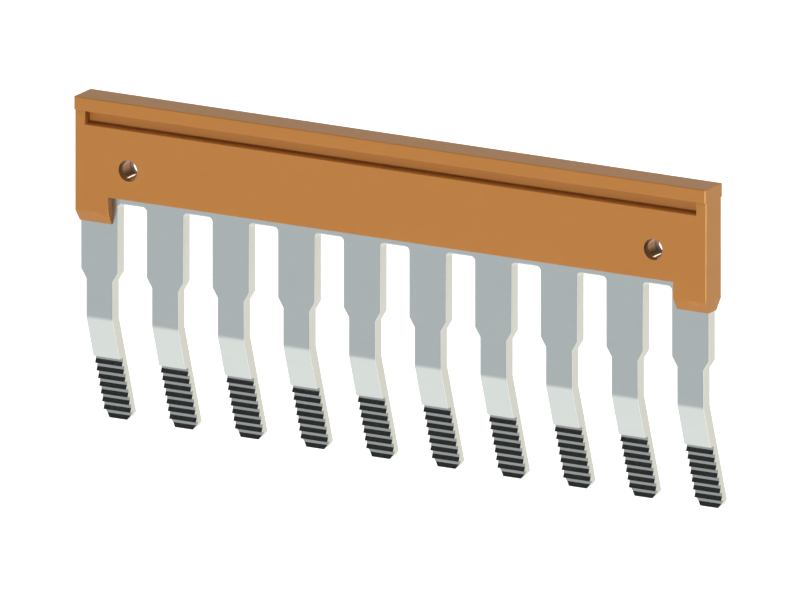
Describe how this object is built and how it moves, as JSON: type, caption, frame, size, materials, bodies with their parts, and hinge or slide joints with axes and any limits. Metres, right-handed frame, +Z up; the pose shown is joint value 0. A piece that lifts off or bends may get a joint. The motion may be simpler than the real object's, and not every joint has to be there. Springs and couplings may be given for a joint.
{
  "type": "terminal jumper",
  "caption": "Plug-in comb jumper that bridges a row of terminals: bent, serrated metal prongs on one strip, held in a slim insulating bar with a pull-out groove and an ear over each end prong.",
  "frame": {"origin": "middle of the row of prongs, on the middle of the sheet, at the underside of the bar that sits on the terminals", "axes": "+X along the row, +Y from the toothed front to the back, towards which the blades bend, +Z up, away from the terminals"},
  "size_m": [0.0586, 0.0048, 0.0275],
  "materials": {
    "insulating_bar": "satin moulded polyamide, orange-brown",
    "contact_comb": "copper alloy with a satin tin plating, silver-grey"
  },
  "bodies": {
    "root": {"insulating_bar": "insulating_bar", "contact_comb": "contact_comb"}
  },
  "joints": []
}
